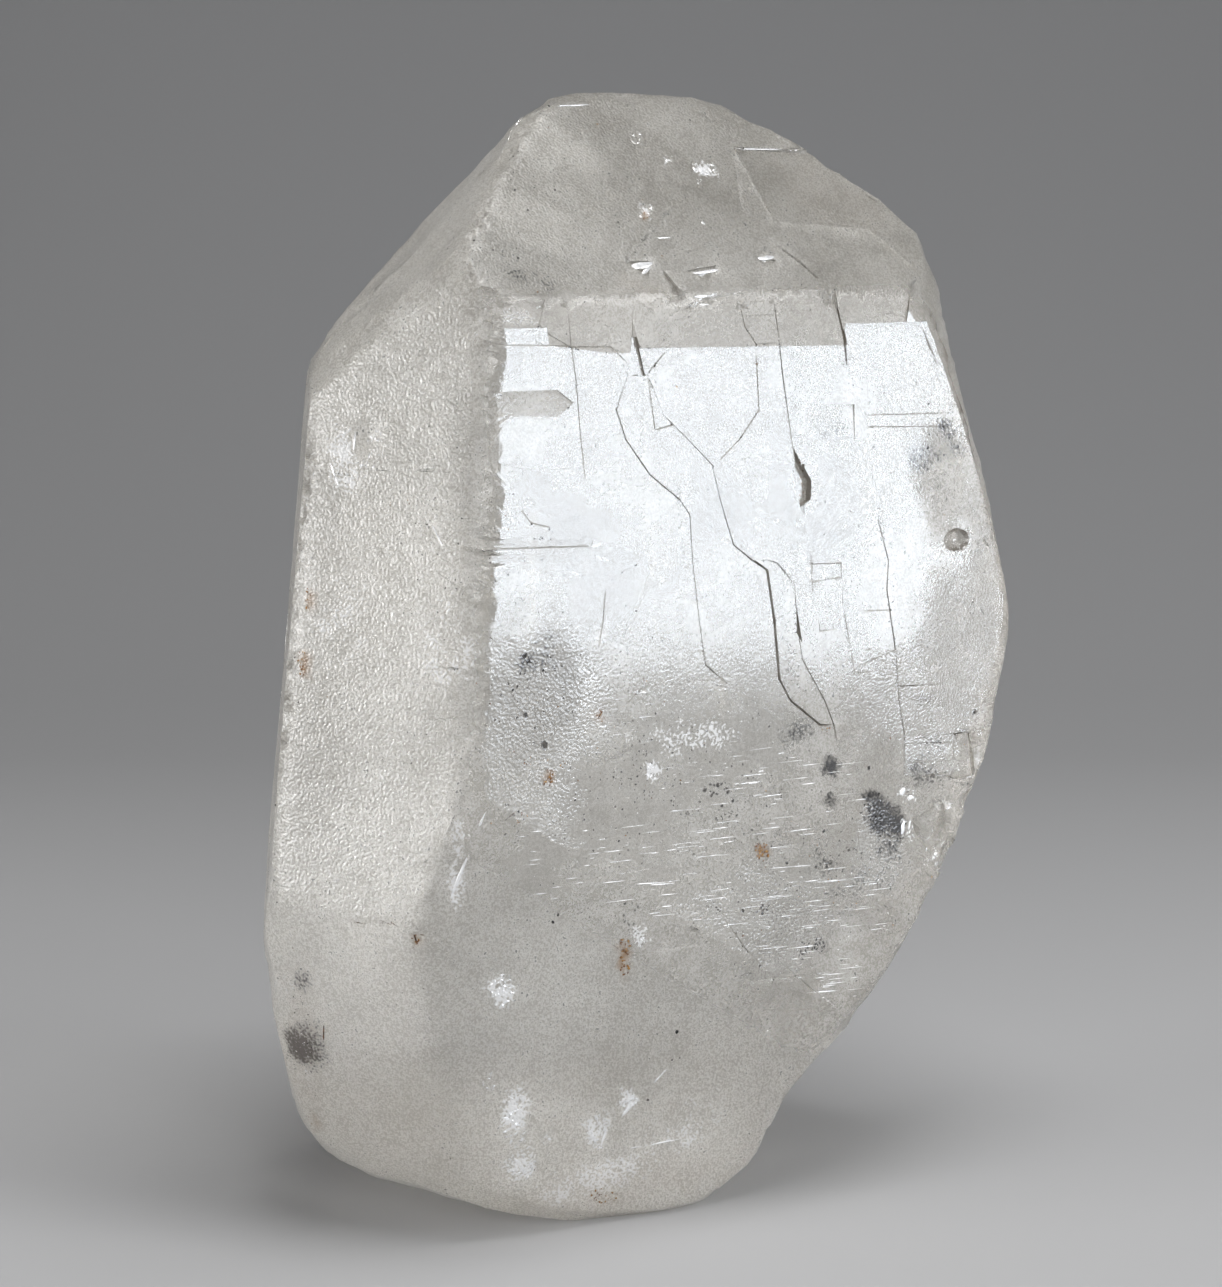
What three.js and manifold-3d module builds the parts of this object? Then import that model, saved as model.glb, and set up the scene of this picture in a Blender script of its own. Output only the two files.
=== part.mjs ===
// A palm-size quartz crystal standing upright on its broken lower end.
// One natural piece: flat growth faces, low growth terraces with cracks between them, a worn and chipped
// outside and a small flat foot. Millimetres, +Z up along the crystal's long axis, -Y towards the viewer.
// The origin is on the ground under the middle of the crystal.
import * as THREE from 'three';
import { mergeVertices } from 'three/addons/utils/BufferGeometryUtils.js';
import Module from 'manifold-3d';

// Driving dimensions. A face is a plane given by the way it looks and by how far it lies from the crystal's
// centre. Azimuth 0 looks towards the viewer and 90 to the right; elevation 90 looks up. Wear is how far the
// worn form stands proud of a flat face, so more of it leaves crisper edges.
const footDepth = 48;             // centre of the crystal above the ground
const growthFaces = {
  front: { azimuth: 35, elevation: 1.5, reach: 14.9, wear: 0.7 },
  left: { azimuth: -25, elevation: 4.5, reach: 27.3, wear: 0.4 },
  farLeft: { azimuth: -83, elevation: 5.6, reach: 27.5, wear: 0.5 },
  backRight: { azimuth: 155, elevation: 2, reach: 29.9, wear: 0.6 },
  backLeft: { azimuth: 215, elevation: 2, reach: 20, wear: 0.6 },
  capFront: { azimuth: 35, elevation: 38.2, reach: 29.6, wear: 0.7 },
  capLeft: { azimuth: -64, elevation: 43.5, reach: 37.3, wear: 0.4 },
  capBackRight: { azimuth: 155, elevation: 42, reach: 39.5, wear: 0.6 },
  capBackLeft: { azimuth: 215, elevation: 42, reach: 31.5, wear: 0.6 },
  foot: { azimuth: 0, elevation: -90, reach: footDepth, wear: 0.9 },
};
const wornFaces = {
  leftBulge: { azimuth: -91, elevation: -6.5, reach: 31.1 },
  leftHeel: { azimuth: -85, elevation: -25, reach: 42 },
  leftSole: { azimuth: -49, elevation: -69.7, reach: 49.3 },
  frontSlope: { azimuth: 27, elevation: -11, reach: 19.6 },
  lowerLeftSlope: { azimuth: -27, elevation: -19, reach: 34.6 },
  ridge: { azimuth: -96, elevation: 39, reach: 34.6 },
  top: { azimuth: 40, elevation: 84, reach: 48.2 },
  topRight: { azimuth: 95, elevation: 57, reach: 46.8 },
  shoulder: { azimuth: 90, elevation: 23, reach: 41.6 },
  bevel: { azimuth: 62, elevation: 12.5, reach: 28.8 },
  rightUpper: { azimuth: 104, elevation: 13.5, reach: 37.7 },
  rightLower: { azimuth: 101, elevation: -15, reach: 36.1 },
  rightHeel: { azimuth: 100, elevation: -29.5, reach: 36.8 },
  rightSole: { azimuth: 87, elevation: -37, reach: 37.4 },
  backHeel: { azimuth: 155, elevation: -38, reach: 42 },
  backLeftHeel: { azimuth: 215, elevation: -45, reach: 40 },
};
const edgeSharpness = 34;         // higher is crisper where worn faces meet
const formDetail = 19;            // how finely the worn form is faceted

// Terraces are low steps in a flat face. Outlines are measured on the face in millimetres to the right and up
// from its middle. Depth is how far a terrace lies below the face at its hinge, and lean tips it about the
// hinge, in degrees to the right and up.
const terraces = [
  // front face: the band along the top edge, which leans back a little
  { face: 'front', hinge: [-12, 26], depth: 0.05, lean: [0, 3],
    outline: [[-26, 27.4], [-15.4, 27.4], [-15.2, 26], [-9.3, 25.3], [-7.1, 25.2], [-7.2, 26.3], [-6.6, 32],
      [-26, 32]] },
  { face: 'front', hinge: [4, 25], depth: 0.12, lean: [0, 3],
    outline: [[-7.2, 26.3], [-7, 25.2], [14.8, 24.9], [14.7, 25.8], [13.9, 29.1], [13.6, 32], [-6.6, 32]] },
  { face: 'front', hinge: [18, 26.7], depth: 0.15, lean: [0, 3],
    outline: [[14.5, 26.8], [21.3, 26.7], [22.5, 32], [13.6, 32], [13.9, 29.1]] },
  // front face: columns between the cracks
  { face: 'front', hinge: [-2, 10], depth: 0.08, lean: [0.35, 0],
    outline: [[-7.7, 23.5], [-5.6, 23.4], [-4.1, 20.1], [-2.2, 18.5], [0.7, 15.9], [1.5, 13], [2.8, 9.2],
      [4.6, 7.9], [6.2, 6.9], [6.9, 2.7], [7.4, -2.4], [1.8, -2.2], [-0.3, -0.5], [-0.9, 3.3],
      [-1.5, 8.2], [-1.7, 11.9], [-2.7, 13.2], [-5.7, 15.4], [-8, 18.3], [-8.9, 20.7]] },
  { face: 'front', hinge: [8, 10], depth: 0.15, lean: [-0.3, 0.2],
    outline: [[-6.9, 25.5], [-6.8, 23.4], [-5.6, 23.4], [-4.1, 20.1], [-2.2, 18.5], [0.7, 15.9], [1.5, 13],
      [2.8, 9.2], [4.6, 7.9], [7, 7.7], [9.1, 5.5], [9.4, 1.7], [9.9, -0.9], [12.2, -4.5], [13.1, -6.5],
      [21.1, -8.3], [20.5, -5.2], [20.2, -0.9], [19.3, 4.4], [19.5, 6.9], [18.4, 10.4], [18, 13.9],
      [17.1, 19], [15.2, 22], [14.9, 25.3]] },
  { face: 'front', hinge: [18, -12], depth: 0.1, lean: [0.5, 0.45],
    outline: [[14.9, 27.1], [15.2, 22], [17.1, 19], [18, 13.9], [18.4, 10.4], [19.5, 6.9], [19.3, 4.4],
      [20.2, -0.9], [20.5, -5.2], [21.1, -8.3], [21, -11.8], [38, -12], [38, 27.2]] },
  // front face: smaller steps, pits and an arrow-shaped etch mark
  { face: 'front', hinge: [15, 5], depth: 0.22, lean: [0, 0.4],
    outline: [[10.7, 7.4], [11.1, 5.6], [14.3, 5.9], [14.6, 1], [15.9, -1.9], [20.1, -0.8], [19.2, 4.4],
      [19.4, 6.9], [18.3, 10.4], [10.7, 9.2]] },
  { face: 'front', hinge: [13, 17.5], depth: 0.17, lean: [0, 2],
    outline: [[10.6, 20.5], [15.7, 20.3], [15.7, 17.4], [10.6, 17.6]] },
  { face: 'front', hinge: [8, 11.4], depth: 0.17, lean: [0, 2.4],
    outline: [[6.6, 15.6], [10.3, 15.5], [10.2, 11.3], [6.5, 11.5]] },
  { face: 'front', hinge: [10, 14], depth: 0.8, lean: [0, 0],
    outline: [[9.2, 16.9], [10.2, 15.2], [11, 14.1], [10.9, 12.6], [9.9, 12], [9.6, 13.5]] },
  { face: 'front', hinge: [-7, 24], depth: 0.5, lean: [0, 0],
    outline: [[-7.2, 26.4], [-6.7, 26.4], [-5.9, 23.4], [-7.7, 23.4]] },
  { face: 'front', hinge: [9.4, 2], depth: 0.6, lean: [0, 0],
    outline: [[9.2, 4.2], [9.9, 0.6], [9.3, 1.4]] },
  { face: 'front', hinge: [25, -12], depth: 0.25, lean: [0, 1.5],
    outline: [[21.3, -8.6], [28.5, -9], [29, -12.6], [21.2, -11.9]] },
  { face: 'front', hinge: [-17, 20.6], depth: 0.05, lean: [0, 3],
    outline: [[-21.2, 22.4], [-14.6, 22.4], [-13.1, 21.4], [-14.6, 20.4], [-21.2, 20.7]] },
  { face: 'front', hinge: [-16, 10.2], depth: 0.03, lean: [0, 4],
    outline: [[-24, 11.2], [-11.5, 10.4], [-11.5, 9.7], [-24, 10.5]] },
  { face: 'front', hinge: [-16, 9], depth: 0.03, lean: [0, 4],
    outline: [[-24, 9.9], [-11.2, 9.2], [-11.2, 8.7], [-24, 9.3]] },
  // cap above the front face: a lower smooth patch on its right, and broken notches along its lower edge
  { face: 'capFront', hinge: [12, 25], depth: 0.35, lean: [1.6, 0.5],
    outline: [[10.4, 30.5], [11, 22.7], [21, 21.9], [25.4, 15.4], [36, 16], [36, 34], [17.4, 30.4]] },
  { face: 'capFront', hinge: [-5, 18], depth: 0.3, lean: [0, 0],
    outline: [[-6.2, 18.4], [-3.9, 18.5], [-4.6, 17.1]] },
  { face: 'capFront', hinge: [1, 17], depth: 0.3, lean: [0, 0],
    outline: [[-0.4, 17.5], [2.6, 18], [1.2, 16.7]] },
  { face: 'capFront', hinge: [8, 18], depth: 0.3, lean: [0, 0],
    outline: [[7.3, 18.9], [9.1, 18.6], [8.1, 17.9]] },
  { face: 'capFront', hinge: [-1, 14], depth: 0.5, lean: [0, -4],
    outline: [[-2.9, 17.6], [-1.8, 14.6], [0.6, 14.8], [1, 12], [-3.4, 12]] },
  // far left face: long upright steps towards its back
  { face: 'farLeft', hinge: [-8, 0], depth: 0.7, lean: [-1.5, 0],
    outline: [[-30, -34], [1, -32], [4, -6], [1, 14], [3, 40], [-30, 40]] },
  { face: 'farLeft', hinge: [-12, 0], depth: 1.5, lean: [-2, 0],
    outline: [[-30, -20], [-7, -19], [-4, 2], [-6, 18], [-30, 20]] },
  // cap above the left face: a ridge runs down it, and the part behind the ridge falls away
  { face: 'capLeft', hinge: [5, 10], depth: 0.05, lean: [-6, 0],
    outline: [[1.5, -6], [3.2, 7], [5.6, 12], [8, 16], [7.6, 19], [1.2, 27], [-14, 30], [-14, -6]] },
  // back faces: tall columns of uneven height
  { face: 'backRight', hinge: [-10, 5], depth: 0.6, lean: [-1, 0],
    outline: [[-30, 40], [-30, -8], [-9, -8], [-8, 2], [-5, 2], [-6, 18], [-3, 19], [-4, 40]] },
  { face: 'backRight', hinge: [16, 5], depth: 0.5, lean: [1.2, 0.4],
    outline: [[9, 40], [8, 16], [12, 15], [11, -3], [15, -4], [14, -26], [40, -26], [40, 40]] },
  { face: 'backRight', hinge: [2, 0], depth: 0.4, lean: [0, 1.5],
    outline: [[-2, 6], [5, 6], [5, -7], [1, -7], [1, -2], [-2, -2]] },
  { face: 'backLeft', hinge: [-12, 15], depth: 0.8, lean: [-1, 0.5],
    outline: [[-30, 40], [-30, 4], [-12, 4], [-11, 12], [-7, 12], [-8, 40]] },
  { face: 'backLeft', hinge: [12, 0], depth: 0.7, lean: [0.8, 0],
    outline: [[4, 10], [5, -14], [12, -14], [12, -4], [30, -4], [30, 10]] },
  { face: 'backLeft', hinge: [-8, -8], depth: 0.5, lean: [0, 4],
    outline: [[-16, -6], [-3, -6], [-3, -9], [-16, -9.5]] },
  { face: 'capBackRight', hinge: [-2, 12], depth: 0.5, lean: [0, 1],
    outline: [[-20, 8], [2, 8], [3, 13], [9, 13], [9, 40], [-20, 40]] },
  { face: 'capBackLeft', hinge: [4, 0], depth: 0.5, lean: [1, -1],
    outline: [[-4, -10], [16, -9], [16, 4], [3, 5], [3, 1], [-4, 1]] },
];

// Cracks are narrow V-shaped grooves along a path on a face, in the same measure.
const cracks = [
  { face: 'front', width: 0.2, depth: 0.5,
    path: [[-6.6, 31], [-7.2, 26.3], [-6.8, 23.4], [-5.6, 23.4], [-4.1, 20.1], [-2.2, 18.5], [0.7, 15.9],
      [1.5, 13], [2.8, 9.2], [4.6, 7.9], [6.2, 6.9], [6.9, 2.7], [7.4, -2.4], [8.5, -4.2], [11.7, -6.6],
      [13, -6.7]] },
  { face: 'front', width: 0.24, depth: 0.6,
    path: [[13.6, 31], [13.9, 29.1], [14.7, 25.8], [15.2, 22], [17.1, 19], [18, 13.9], [18.4, 10.4],
      [19.5, 6.9], [19.3, 4.4], [20.2, -0.9], [20.5, -5.2], [21.1, -8.3], [21, -11.8]] },
  { face: 'front', width: 0.15, depth: 0.4,
    path: [[-7.7, 23.5], [-8.9, 20.7], [-8, 18.3], [-5.7, 15.4], [-2.7, 13.2], [-1.7, 11.9], [-1.5, 8.2],
      [-0.9, 3.3], [-0.3, -0.5], [1.8, -2.2]] },
  { face: 'front', width: 0.18, depth: 0.45,
    path: [[6.2, 7.8], [7.4, 7.4], [9.1, 5.5], [9.4, 1.7], [9.9, -0.9], [12.2, -4.5], [13.1, -6.5],
      [13.6, -8.6]] },
  { face: 'front', width: 0.16, depth: 0.35,
    path: [[-5.6, 23.4], [-4.4, 25.2]] },
  { face: 'capFront', width: 0.24, depth: 0.5,
    path: [[9.6, 20.6], [11.6, 18.3], [12.8, 16.4], [13.7, 14.3], [13.8, 12]] },
  { face: 'capFront', width: 0.2, depth: 0.4,
    path: [[10.4, 30.7], [14.1, 30.3], [17.8, 30.6]] },
  { face: 'backRight', width: 0.24, depth: 0.6,
    path: [[-4, 34], [-3, 19], [-6, 18], [-5, 2], [-8, 1.6], [-8.6, -8], [-7, -16]] },
  { face: 'backRight', width: 0.24, depth: 0.6,
    path: [[9, 34], [8, 16], [11.6, 15], [11, -3], [14.6, -4], [14.4, -20]] },
  { face: 'backLeft', width: 0.22, depth: 0.5,
    path: [[-8, 30], [-7, 12], [-8.4, 4], [-5, -2], [-6, -12]] },
];

// Chips are shallow hollows knocked out of the outside: the middle of each hollow from the crystal's centre,
// its half sizes and how it is turned, in radians. Detail 0 gives an angular break, more a shell-like one.
const chips = [
  { at: [30, -0.2, -16.4], size: [3.6, 3, 3.2], turn: 0.4, detail: 0 },
  { at: [28.2, -1.6, -19.6], size: [2.6, 2.2, 3], turn: 1.1, detail: 0 },
  { at: [31.4, 1.4, -20.5], size: [2.4, 3, 3.6], turn: 2.3, detail: 0 },
  { at: [29.6, 0.8, -24], size: [2.2, 2.4, 2.8], turn: 3, detail: 0 },
  { at: [26.3, -1.8, -13.3], size: [1.3, 1.5, 1.2], turn: 0.2, detail: 0 },
  { at: [33.2, 3.4, -15.2], size: [2, 3.4, 2.6], turn: 1.7, detail: 0 },
  { at: [31.5, 2.4, 8.6], size: [2.2, 2.4, 1.6] },
  { at: [-27.5, -22.4, -27.5], size: [3.6, 3.4, 5.5] },
  { at: [-30.2, -17, -22], size: [2.4, 3, 2], turn: 0.9, detail: 0 },
  { at: [-30, -16, -26.5], size: [2.2, 3, 1.6], turn: 2.1, detail: 0 },
  { at: [-30, -12, -33], size: [2.6, 6, 4] },
  { at: [-19.4, -21.6, 19.4], size: [2.2, 2.4, 3] },
  { at: [-1.6, -5, 49.6], size: [3.4, 6, 3.4] },
  { at: [9, 6, 51.6], size: [5, 8, 4.6] },
  { at: [-14.6, -19, -46.4], size: [3.4, 5, 2.6] },
  { at: [5, -14.5, -48], size: [2, 2, 1.6] },
  { at: [38, 12, 22], size: [3, 4, 6] },
  { at: [37, 16, -2], size: [3, 5, 3] },
  { at: [18, 27, 30], size: [4, 3, 5] },
  { at: [-20, 18, -20], size: [4, 4, 5] },
  { at: [8, 31, -24], size: [5, 3, 4] },
  { at: [-27, 13, 12], size: [3, 4, 6] },
  { at: [26.2, 2, -49], size: [14, 26, 17] },
];
const crumbledEdges = [
  { faces: ['front', 'left'], from: -12, to: 30, count: 30, size: 0.42 },
  { faces: ['capFront', 'left'], from: 30, to: 35, count: 5, size: 0.4 },
  { faces: ['capFront', 'capLeft'], from: 34, to: 45, count: 9, size: 0.45 },
  { faces: ['left', 'farLeft'], from: -22, to: 22, count: 18, size: 0.5 },
];

// Surfaces and solids
function facing({ azimuth, elevation }) {
  const a = THREE.MathUtils.degToRad(azimuth);
  const e = THREE.MathUtils.degToRad(elevation);
  return new THREE.Vector3(Math.sin(a) * Math.cos(e), -Math.cos(a) * Math.cos(e), Math.sin(e));
}

const wasm = await Module();
wasm.setup();

function solid(geometry) {
  geometry.deleteAttribute('normal');
  geometry.deleteAttribute('uv');
  const merged = mergeVertices(geometry, 1e-4);
  return new wasm.Manifold(new wasm.Mesh({
    numProp: 3,
    vertProperties: new Float32Array(merged.attributes.position.array),
    triVerts: new Uint32Array(merged.index.array),
  }));
}

// The worn form: a many-sided stone whose faces run into each other in soft edges.
function wornForm() {
  const planes = [];
  for (const face of Object.values(growthFaces)) {
    planes.push({ normal: facing(face), reach: face.reach + face.wear });
  }
  for (const face of Object.values(wornFaces)) {
    planes.push({ normal: facing(face), reach: face.reach });
  }
  const geometry = new THREE.IcosahedronGeometry(1, formDetail);
  const position = geometry.attributes.position;
  const direction = new THREE.Vector3();
  for (let i = 0; i < position.count; i += 1) {
    direction.fromBufferAttribute(position, i).normalize();
    let closeness = 0;
    for (const { normal, reach } of planes) {
      closeness += Math.max(normal.dot(direction) / reach, 0) ** edgeSharpness;
    }
    direction.multiplyScalar(closeness ** (-1 / edgeSharpness));
    position.setXYZ(i, direction.x, direction.y, direction.z);
  }
  return solid(geometry);
}

// Where a face's own measure lies: x to the right, y up and z out of the face, from its middle.
function placeOnFace(name) {
  const face = growthFaces[name];
  const out = facing(face);
  const a = THREE.MathUtils.degToRad(face.azimuth);
  const right = new THREE.Vector3(Math.cos(a), Math.sin(a), 0);
  const up = new THREE.Vector3().crossVectors(out, right);
  return new THREE.Matrix4().makeBasis(right, up, out).setPosition(out.clone().multiplyScalar(face.reach));
}

// A block that lies beyond a face, to cut the form flat there.
const blockSize = 160;

function beyond(name) {
  const block = new THREE.BoxGeometry(blockSize, blockSize, blockSize);
  block.translate(0, 0, blockSize / 2);
  if (name === 'foot') {
    block.rotateX(Math.PI);
    block.translate(0, 0, -footDepth);
  } else {
    block.applyMatrix4(placeOnFace(name));
  }
  return solid(block);
}

const clearance = 4;              // how far a terrace's cutting solid stands out of the face
const overrun = 0.07;             // how far a terrace runs into the cracks beside it

function widened(outline) {
  return outline.map(([x, y], i) => {
    const [xa, ya] = outline[(i + outline.length - 1) % outline.length];
    const [xb, yb] = outline[(i + 1) % outline.length];
    const into = new THREE.Vector2(x - xa, y - ya).normalize();
    const onward = new THREE.Vector2(xb - x, yb - y).normalize();
    const along = into.add(onward).normalize();
    const turning = THREE.ShapeUtils.area(outline.map(([u, v]) => ({ x: u, y: v }))) > 0 ? 1 : -1;
    return new THREE.Vector2(x + along.y * overrun * turning, y - along.x * overrun * turning);
  });
}

function terrace({ face, outline, hinge, depth, lean }) {
  const shape = new THREE.Shape(widened(outline));
  const prism = new THREE.ExtrudeGeometry(shape, { depth: clearance, bevelEnabled: false });
  prism.translate(-hinge[0], -hinge[1], 0);
  prism.rotateX(-THREE.MathUtils.degToRad(lean[1]));
  prism.rotateY(THREE.MathUtils.degToRad(lean[0]));
  prism.translate(hinge[0], hinge[1], -depth);
  prism.applyMatrix4(placeOnFace(face));
  return solid(prism);
}

// A V-shaped bar along the path: two edges above the face and one below it, tapering to its ends.
const rise = 0.3;                 // how far a crack's cutting solid stands out of the face

function crack({ face, path, width, depth }) {
  const points = [];
  path.forEach(([x, y], i) => {
    const [xa, ya] = path[Math.max(i - 1, 0)];
    const [xb, yb] = path[Math.min(i + 1, path.length - 1)];
    const along = new THREE.Vector2(xb - xa, yb - ya).normalize();
    const end = i === 0 || i === path.length - 1;
    const half = (end ? 0.3 : 1) * width / 2;
    const flare = half * (depth + rise) / depth;
    points.push(x - along.y * flare, y + along.x * flare, rise);
    points.push(x + along.y * flare, y - along.x * flare, rise);
    points.push(x, y, end ? -depth / 2 : -depth);
  });
  const index = [0, 2, 1];
  for (let i = 0; i + 1 < path.length; i += 1) {
    for (let side = 0; side < 3; side += 1) {
      const a = 3 * i + side;
      const b = 3 * i + ((side + 1) % 3);
      index.push(a, b, a + 3, b, b + 3, a + 3);
    }
  }
  const last = 3 * (path.length - 1);
  index.push(last, last + 1, last + 2);
  const bar = new THREE.BufferGeometry();
  bar.setAttribute('position', new THREE.Float32BufferAttribute(points, 3));
  bar.setIndex(index);
  bar.applyMatrix4(placeOnFace(face));
  return solid(bar);
}

function hollow({ at, size, turn = 0, detail = 5 }) {
  const ball = new THREE.IcosahedronGeometry(1, detail);
  ball.rotateX(turn);
  ball.rotateY(2 * turn);
  ball.scale(...size);
  ball.translate(...at);
  return solid(ball);
}

// Angular bites out of the edge where two faces meet, of uneven size and at uneven heights.
function* bites({ faces, from, to, count, size }) {
  const [a, b] = faces.map((name) => {
    return { normal: facing(growthFaces[name]), reach: growthFaces[name].reach };
  });
  for (let i = 0; i < count; i += 1) {
    const unevenness = Math.sin(12.9 * i + from);
    const z = from + (to - from) * (i + 0.5 + 0.9 * unevenness) / count;
    const ra = a.reach - a.normal.z * z;
    const rb = b.reach - b.normal.z * z;
    const across = a.normal.x * b.normal.y - a.normal.y * b.normal.x;
    const x = (ra * b.normal.y - rb * a.normal.y) / across;
    const y = (rb * a.normal.x - ra * b.normal.x) / across;
    const r = size * (1 + 0.45 * Math.sin(7.3 * i));
    yield { at: [x, y, z], size: [r, r, r * (1.3 + 0.5 * unevenness)], turn: i, detail: 0 };
  }
}

let body = wornForm();
for (const name of Object.keys(growthFaces)) {
  body = body.subtract(beyond(name));
}
for (const step of terraces) {
  body = body.subtract(terrace(step));
}
for (const line of cracks) {
  body = body.subtract(crack(line));
}
for (const chip of chips) {
  body = body.subtract(hollow(chip));
}
for (const edge of crumbledEdges) {
  for (const bite of bites(edge)) {
    body = body.subtract(hollow(bite));
  }
}

// The finished solid as a mesh, standing on its foot with the origin under its middle.
function geometryOf(manifold) {
  const { vertProperties, triVerts } = manifold.getMesh();
  const geometry = new THREE.BufferGeometry();
  geometry.setAttribute('position', new THREE.BufferAttribute(vertProperties, 3));
  geometry.setIndex(new THREE.BufferAttribute(triVerts, 1));
  geometry.computeVertexNormals();
  return geometry;
}

const quartz = new THREE.MeshStandardMaterial({ color: 0xc9c8c4, roughness: 0.3, metalness: 0 });
const crystal = new THREE.Mesh(geometryOf(body), quartz);
crystal.name = 'crystal';
crystal.geometry.computeBoundingBox();
const middle = crystal.geometry.boundingBox.getCenter(new THREE.Vector3());
crystal.position.set(-middle.x, -middle.y, footDepth);

const group = new THREE.Group();
group.add(crystal);

export default group;
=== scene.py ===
import math

import random

import bmesh
import bpy
import numpy as np
from mathutils import Matrix, Vector, noise
from mathutils.bvhtree import BVHTree


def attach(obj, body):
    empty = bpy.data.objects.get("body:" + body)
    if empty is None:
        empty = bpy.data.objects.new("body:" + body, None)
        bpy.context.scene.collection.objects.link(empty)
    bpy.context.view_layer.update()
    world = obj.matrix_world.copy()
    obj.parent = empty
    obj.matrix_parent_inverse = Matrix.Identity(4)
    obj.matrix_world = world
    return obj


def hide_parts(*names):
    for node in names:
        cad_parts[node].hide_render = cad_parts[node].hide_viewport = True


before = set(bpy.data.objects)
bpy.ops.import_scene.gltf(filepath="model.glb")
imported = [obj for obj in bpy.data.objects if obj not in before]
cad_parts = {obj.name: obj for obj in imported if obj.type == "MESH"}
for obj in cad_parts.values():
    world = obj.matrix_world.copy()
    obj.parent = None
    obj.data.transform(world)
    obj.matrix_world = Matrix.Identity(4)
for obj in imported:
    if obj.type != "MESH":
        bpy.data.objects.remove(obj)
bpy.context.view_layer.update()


# Camera: level with the crystal's upper half and looking a little down at it, through a long lens.
# It stands straight in front, about a quarter of a metre away.
mm = 0.001
aim = Vector((-2.92, -2.37, 48.0)) * mm
camera_distance = 262 * mm
camera_elevation = math.radians(7.7)

lens = bpy.data.cameras.new("camera")
lens.sensor_fit = "VERTICAL"
lens.sensor_height = 36
lens.lens = 85
lens.clip_start = 0.01
camera = bpy.data.objects.new("camera", lens)
towards_camera = Vector((0, -math.cos(camera_elevation), math.sin(camera_elevation)))
camera.location = aim + towards_camera * camera_distance
camera.rotation_euler = towards_camera.to_track_quat("Z", "Y").to_euler()
bpy.context.collection.objects.link(camera)
bpy.context.scene.camera = camera


# Studio: a pale sheet of board that lies flat under the crystal and sweeps up behind it.
# It is matt, and its colour is even, so that only the light makes it darker towards the top.
class Reading:
    """A shader socket that can be reckoned with like a number."""

    def __init__(self, tree, socket=None):
        self.tree = tree
        self.socket = socket

    def node(self, kind, settings=None, sockets=None, output=0):
        made = self.tree.nodes.new(kind)
        for name, value in (settings or {}).items():
            setattr(made, name, value)
        for name, value in (sockets or {}).items():
            if isinstance(value, Reading):
                self.tree.links.new(value.socket, made.inputs[name])
            else:
                made.inputs[name].default_value = value
        return Reading(self.tree, made.outputs[output])

    def maths(self, operation, first, second):
        return self.node("ShaderNodeMath", {"operation": operation}, {0: first, 1: second})

    def __add__(self, other):
        return self.maths("ADD", self, other)

    def __radd__(self, other):
        return self.maths("ADD", other, self)

    def __sub__(self, other):
        return self.maths("SUBTRACT", self, other)

    def __rsub__(self, other):
        return self.maths("SUBTRACT", other, self)

    def __mul__(self, other):
        return self.maths("MULTIPLY", self, other)

    def __rmul__(self, other):
        return self.maths("MULTIPLY", other, self)

    def smooth(self, low, high, start=0.0, end=1.0):
        """A soft step from start to end as the reading goes from low to high."""
        settings = {"interpolation_type": "SMOOTHSTEP"}
        return self.node("ShaderNodeMapRange", settings, {0: self, 1: low, 2: high, 3: start, 4: end})

    def scaled(self, factor):
        """A place or a direction made longer."""
        settings = {"operation": "SCALE"}
        return self.node("ShaderNodeVectorMath", settings, {0: self, "Scale": factor}, "Vector")

    def along(self, direction):
        """How far a place lies along a direction."""
        settings = {"operation": "DOT_PRODUCT"}
        return self.node("ShaderNodeVectorMath", settings, {0: self, 1: direction}, "Value")

    def attribute(self, name):
        """A value that the mesh carries."""
        return self.node("ShaderNodeAttribute", {"attribute_name": name}, None, "Fac")

    def noise(self, place, scale, detail):
        """Cloudy noise from 0 to 1, with so many lumps to a millimetre."""
        settings = {"noise_dimensions": "3D"}
        sockets = {"Vector": place, "Scale": scale, "Detail": detail}
        return self.node("ShaderNodeTexNoise", settings, sockets, "Fac")

    def mix(self, first, second):
        """The first colour where the reading is 0, and the second where it is 1."""
        settings = {"data_type": "RGBA", "clamp_factor": True}
        return self.node("ShaderNodeMix", settings, {0: self, 6: first, 7: second}, 2)


def new_material(name):
    """A material with its nodes cleared, and the reading that they start from."""
    material = bpy.data.materials.new(name)
    material.use_nodes = True
    material.node_tree.nodes.clear()
    return material, Reading(material.node_tree)


def finish_material(start, surface, volume=None):
    sockets = {"Surface": surface}
    if volume:
        sockets["Volume"] = volume
    start.tree.nodes.new("ShaderNodeOutputMaterial")
    output = start.tree.nodes["Material Output"]
    for name, value in sockets.items():
        start.tree.links.new(value.socket, output.inputs[name])


sweep_half_width = 1.4
sweep_front = -1.6
sweep_bend_start = 0.22
sweep_bend_radius = 0.5
sweep_height = 1.3
board_colour = (0.52, 0.52, 0.525, 1)

bm = bmesh.new()
profile = [bm.verts.new((-sweep_half_width, y, 0)) for y in (sweep_front, sweep_bend_start)]
for step in range(1, 17):
    angle = math.radians(90) * step / 16
    y = sweep_bend_start + sweep_bend_radius * math.sin(angle)
    z = sweep_bend_radius * (1 - math.cos(angle))
    profile.append(bm.verts.new((-sweep_half_width, y, z)))
profile.append(bm.verts.new((-sweep_half_width, sweep_bend_start + sweep_bend_radius, sweep_height)))
edges = [bm.edges.new(pair) for pair in zip(profile, profile[1:])]
pulled = bmesh.ops.extrude_edge_only(bm, edges=edges)["geom"]
moved = [v for v in pulled if isinstance(v, bmesh.types.BMVert)]
bmesh.ops.translate(bm, vec=(2 * sweep_half_width, 0, 0), verts=moved)
bmesh.ops.recalc_face_normals(bm, faces=bm.faces)
mesh = bpy.data.meshes.new("sweep")
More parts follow.
